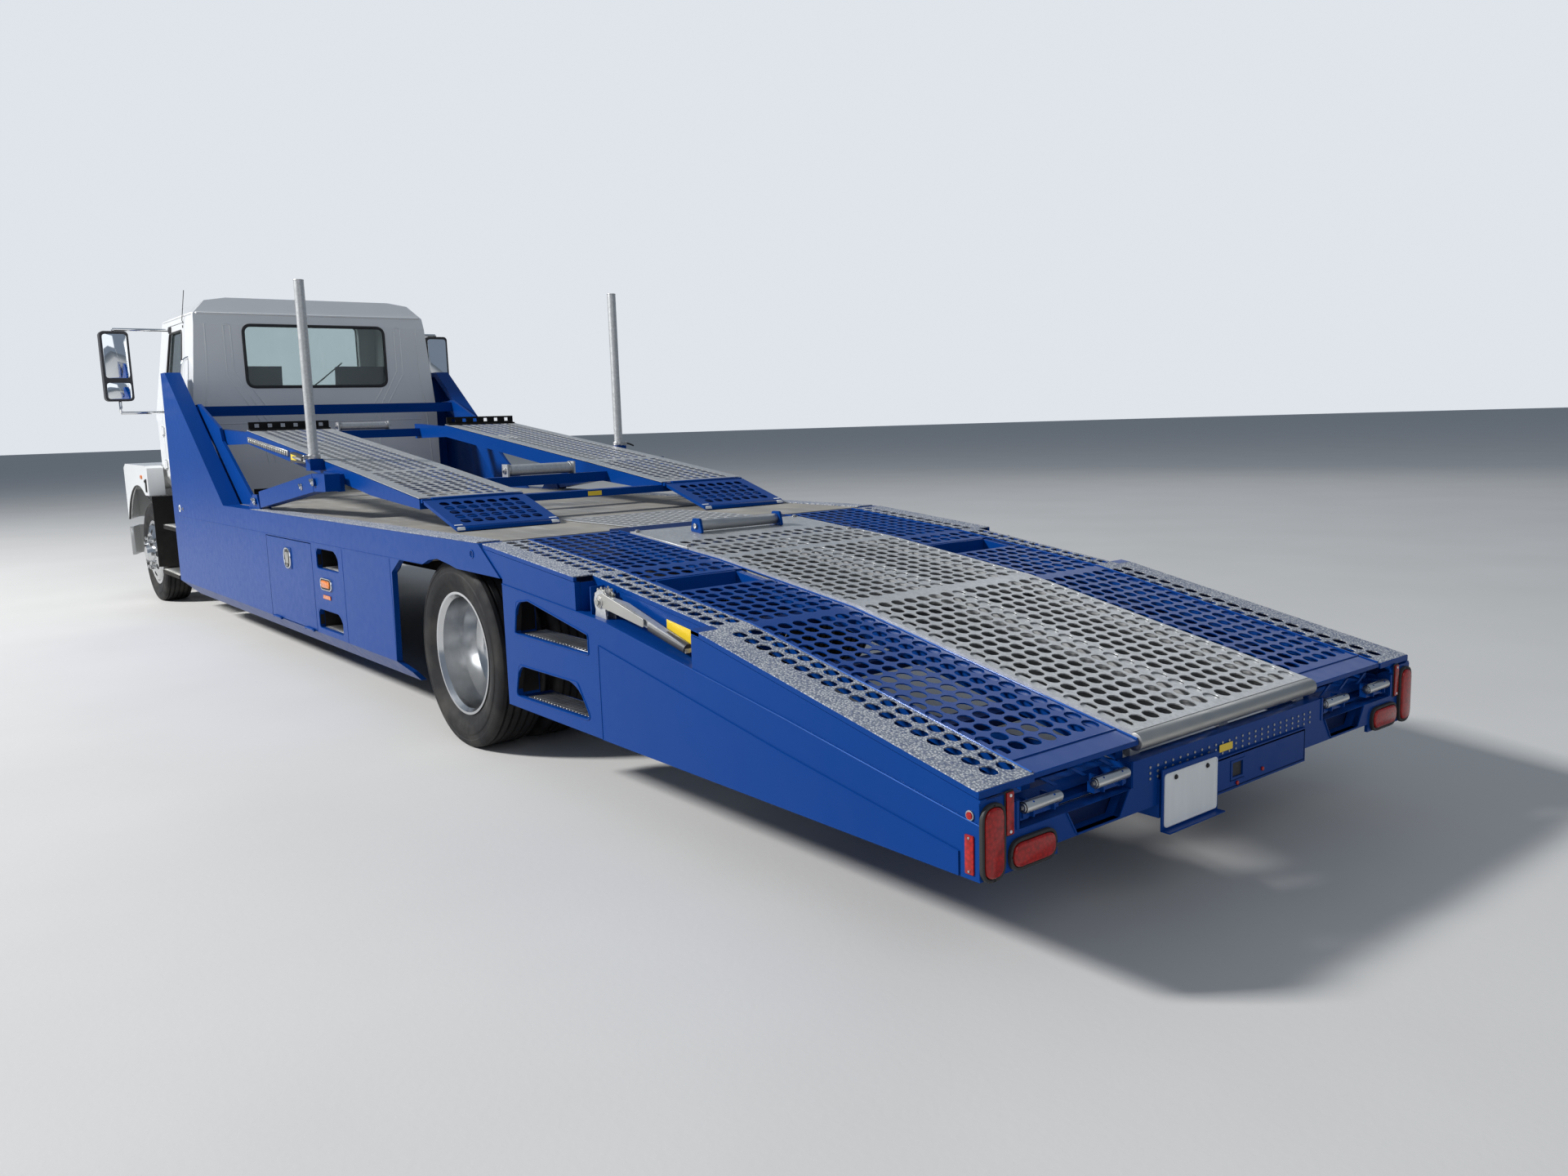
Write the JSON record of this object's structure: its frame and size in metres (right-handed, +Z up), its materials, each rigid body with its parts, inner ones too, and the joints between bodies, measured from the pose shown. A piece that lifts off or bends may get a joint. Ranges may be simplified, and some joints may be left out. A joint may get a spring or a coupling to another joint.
{
  "type": "car transporter truck",
  "caption": "Full-size tilting-deck car transporter truck with a beavertail load floor, lifting upper runways, pull-out ramps, white cab and blue steel sides.",
  "frame": {"origin": "on the ground, midway between the bumper and the tail, on the centre plane", "axes": "+X forward, +Y to the truck's left, +Z up"},
  "size_m": [11.512, 3.09, 2.716],
  "materials": {
    "blue_paint": "gloss",
    "white_paint": "gloss",
    "black_paint": "satin",
    "galvanised": "matte",
    "grit_coat": "matte",
    "polished": "polished",
    "tyre": "matte",
    "glass": "clear",
    "red_lens": "gloss",
    "clear_lens": "gloss",
    "black_plastic": "matte",
    "cloth": "matte",
    "cast": "matte"
  },
  "bodies": {
    "truck": {"chassis_frame": "black_paint", "front_axle": "cast", "rear_axle": "cast", "engine_and_driveline": "cast", "chassis_tanks": "black_paint", "side_rails": "blue_paint", "side_panels": "blue_paint", "step_panels": "blue_paint", "side_boxes": "blue_paint", "side_ratchets": "galvanised", "deck_floor": "galvanised", "deck_strips": "grit_coat", "tail_frame": "blue_paint", "tail_gratings": "blue_paint", "centre_panel": "galvanised", "winch_cover": "galvanised", "tail_beam": "blue_paint", "tail_lamps": "red_lens", "head_rack": "blue_paint", "arm_lugs": "blue_paint", "cab_shell": "white_paint", "cab_windows": "glass", "cab_interior": "cloth", "front_bumper": "white_paint", "steps_and_guards": "black_paint"},
    "tie_rod": {"tie_rod": "cast"},
    "steering_wheel": {"steering_wheel": "black_plastic"},
    "hood": {"hood": "white_paint", "grille": "polished", "headlamps": "clear_lens"},
    "upper_deck": {"upper_deck_frame": "blue_paint", "runway_plates": "galvanised", "posts_and_rollers": "galvanised", "wheel_stops": "black_paint"},
    "knuckle_left": {"knuckle_left": "cast"},
    "front_wheel_left": {"front_wheel_left": "polished", "front_tyre_left": "tyre"},
    "rear_wheels_left": {"rear_wheel_left": "polished", "rear_tyres_left": "tyre"},
    "door_left": {"cab_door_left": "white_paint", "door_glass_left": "glass", "door_mirror_left": "black_plastic"},
    "toolbox_door_left": {"toolbox_door_left": "blue_paint"},
    "flap_left": {"runway_flap_left": "blue_paint"},
    "lift_arm_left": {"lift_arm_left": "blue_paint"},
    "lift_rod_left": {"lift_rod_left": "blue_paint"},
    "ramp_left": {"tail_ramp_left": "blue_paint"},
    "knuckle_right": {"knuckle_right": "cast"},
    "front_wheel_right": {"front_wheel_right": "polished", "front_tyre_right": "tyre"},
    "rear_wheels_right": {"rear_wheel_right": "polished", "rear_tyres_right": "tyre"},
    "door_right": {"cab_door_right": "white_paint", "door_glass_right": "glass", "door_mirror_right": "black_plastic"},
    "toolbox_door_right": {"toolbox_door_right": "blue_paint"},
    "flap_right": {"runway_flap_right": "blue_paint"},
    "lift_arm_right": {"lift_arm_right": "blue_paint"},
    "lift_rod_right": {"lift_rod_right": "blue_paint"},
    "ramp_right": {"tail_ramp_right": "blue_paint"}
  },
  "joints": [
    {"name": "upper_deck_lift", "type": "hinge", "parent": "truck", "child": "upper_deck", "pos_m": [2.17, 0, 1.53], "axis": [0, 1, 0], "range_deg": [0, 12]},
    {"name": "steer_left", "type": "hinge", "parent": "truck", "child": "knuckle_left", "pos_m": [4.78, 0.745, 0.463], "axis": [0, 0, 1], "range_deg": [-38, 38]},
    {"name": "front_wheel_left_spin", "type": "hinge", "parent": "knuckle_left", "child": "front_wheel_left", "pos_m": [4.78, 1.015, 0.463], "axis": [0, 1, 0], "continuous": true},
    {"name": "rear_wheels_left_spin", "type": "hinge", "parent": "truck", "child": "rear_wheels_left", "pos_m": [-2.33, 0.902, 0.463], "axis": [0, 1, 0], "continuous": true},
    {"name": "door_left_swing", "type": "hinge", "parent": "truck", "child": "door_left", "pos_m": [4.252, 1.064, 1.45], "axis": [0, 0, -1], "range_deg": [0, 65]},
    {"name": "toolbox_door_left_drop", "type": "hinge", "parent": "truck", "child": "toolbox_door_left", "pos_m": [0.145, 1.2273, 0.339], "axis": [-1, 0, 0], "range_deg": [0, 90]},
    {"name": "lift_arm_left_swing", "type": "hinge", "parent": "truck", "child": "lift_arm_left", "pos_m": [0.953, 1.14, 1.088], "axis": [0, 1, 0], "range_deg": [0, 21]},
    {"name": "lift_rod_left_slide", "type": "slide", "parent": "lift_arm_left", "child": "lift_rod_left", "axis": [-0.9927, 0, 0.1203], "range_m": [0, 0.17]},
    {"name": "flap_left_fold", "type": "hinge", "parent": "upper_deck", "child": "flap_left", "pos_m": [-1.696, 0.755, 1.176], "axis": [0, 1, 0], "range_deg": [0, 95]},
    {"name": "ramp_left_pull", "type": "slide", "parent": "truck", "child": "ramp_left", "axis": [-1, 0, 0], "range_m": [0, 0.9]},
    {"name": "steer_right", "type": "hinge", "parent": "truck", "child": "knuckle_right", "pos_m": [4.78, -0.745, 0.463], "axis": [0, 0, 1], "range_deg": [-38, 38]},
    {"name": "front_wheel_right_spin", "type": "hinge", "parent": "knuckle_right", "child": "front_wheel_right", "pos_m": [4.78, -1.015, 0.463], "axis": [0, 1, 0], "continuous": true},
    {"name": "rear_wheels_right_spin", "type": "hinge", "parent": "truck", "child": "rear_wheels_right", "pos_m": [-2.33, -0.902, 0.463], "axis": [0, 1, 0], "continuous": true},
    {"name": "door_right_swing", "type": "hinge", "parent": "truck", "child": "door_right", "pos_m": [4.252, -1.064, 1.45], "axis": [0, 0, 1], "range_deg": [0, 65]},
    {"name": "toolbox_door_right_drop", "type": "hinge", "parent": "truck", "child": "toolbox_door_right", "pos_m": [0.145, -1.2273, 0.339], "axis": [1, 0, 0], "range_deg": [0, 90]},
    {"name": "lift_arm_right_swing", "type": "hinge", "parent": "truck", "child": "lift_arm_right", "pos_m": [0.953, -1.14, 1.088], "axis": [0, 1, 0], "range_deg": [0, 21]},
    {"name": "lift_rod_right_slide", "type": "slide", "parent": "lift_arm_right", "child": "lift_rod_right", "axis": [-0.9927, 0, 0.1203], "range_m": [0, 0.17]},
    {"name": "flap_right_fold", "type": "hinge", "parent": "upper_deck", "child": "flap_right", "pos_m": [-1.696, -0.755, 1.176], "axis": [0, 1, 0], "range_deg": [0, 95]},
    {"name": "ramp_right_pull", "type": "slide", "parent": "truck", "child": "ramp_right", "axis": [-1, 0, 0], "range_m": [0, 0.9]},
    {"name": "tie_rod_turn", "type": "hinge", "parent": "knuckle_left", "child": "tie_rod", "pos_m": [4.605, 0.745, 0.335], "axis": [0, 0, 1], "range_deg": [-38, 38]},
    {"name": "steering_wheel_turn", "type": "hinge", "parent": "truck", "child": "steering_wheel", "pos_m": [4.039, 0.48, 1.64], "axis": [0.5736, 0, -0.8192], "range_deg": [-575, 575]},
    {"name": "hood_tilt", "type": "hinge", "parent": "truck", "child": "hood", "pos_m": [5.66, 0, 0.7], "axis": [0, 1, 0], "range_deg": [0, 60]}
  ],
  "couplings": [
    {"joint": "lift_arm_left_swing", "follows": "upper_deck_lift", "ratio": 1.7136},
    {"joint": "lift_rod_left_slide", "follows": "upper_deck_lift", "m_per_rad": 0.7827},
    {"joint": "lift_arm_right_swing", "follows": "upper_deck_lift", "ratio": 1.7136},
    {"joint": "lift_rod_right_slide", "follows": "upper_deck_lift", "m_per_rad": 0.7827},
    {"joint": "steer_right", "follows": "steer_left", "ratio": 1},
    {"joint": "tie_rod_turn", "follows": "steer_left", "ratio": -1},
    {"joint": "steering_wheel_turn", "follows": "steer_left", "ratio": -15}
  ]
}
